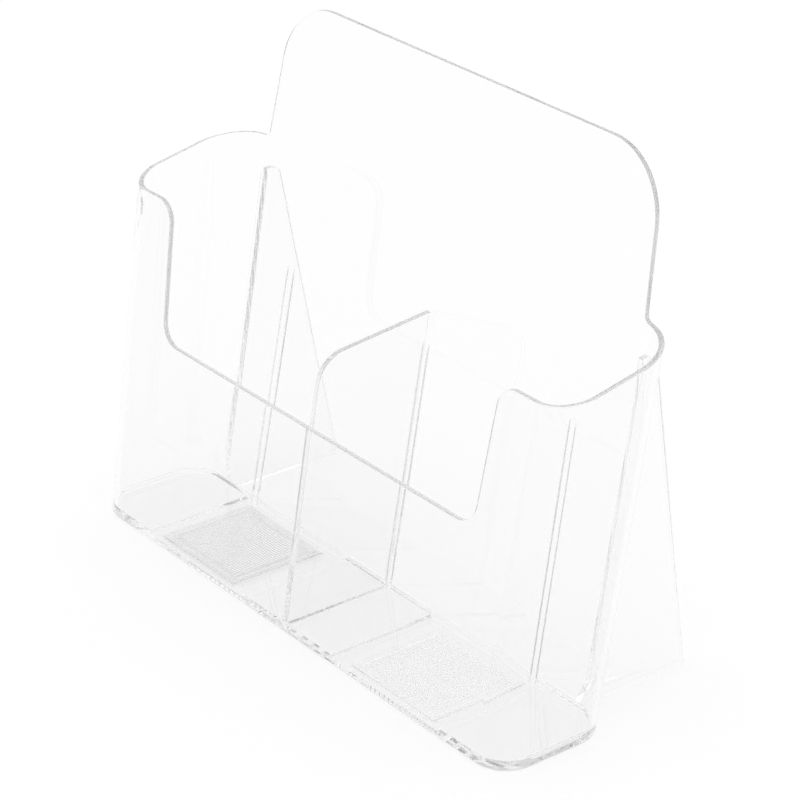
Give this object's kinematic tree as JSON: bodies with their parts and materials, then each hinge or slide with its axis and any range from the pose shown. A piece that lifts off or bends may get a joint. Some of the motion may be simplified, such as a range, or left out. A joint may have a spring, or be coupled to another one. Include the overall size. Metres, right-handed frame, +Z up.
{
  "type": "desktop file sorter",
  "caption": "Clear moulded desktop leaflet sorter: wide open-fronted pockets split by a lift-out divider, tall leaning back panel and rear support fins.",
  "frame": {"origin": "on the table, in the middle of the footprint's box", "axes": "+X to the right seen from the front, +Y to the back, +Z up"},
  "size_m": [0.2478, 0.1004, 0.1943],
  "materials": {
    "clear_moulding": "water-clear polished polystyrene",
    "clear_divider": "water-clear polished polystyrene",
    "textured_mat": "translucent grey vinyl with a fine square knurl"
  },
  "bodies": {
    "holder": {"floor_plate": "clear_moulding", "right_centre_pad": "clear_moulding", "left_centre_pad": "clear_moulding", "right_end_pad": "clear_moulding", "left_end_pad": "clear_moulding", "front_wall": "clear_moulding", "back_panel": "clear_moulding", "right_front_corner": "clear_moulding", "left_front_corner": "clear_moulding", "right_side_wall": "clear_moulding", "left_side_wall": "clear_moulding", "right_support_fin": "clear_moulding", "left_support_fin": "clear_moulding", "right_guide_rib": "clear_moulding", "left_guide_rib": "clear_moulding", "right_floor_mat": "textured_mat", "left_floor_mat": "textured_mat"},
    "divider": {"divider": "clear_divider"}
  },
  "joints": [
    {"name": "divider_lift", "type": "slide", "parent": "holder", "child": "divider", "axis": [0, 0.1599, 0.9871], "range_m": [0, 0.2]}
  ]
}
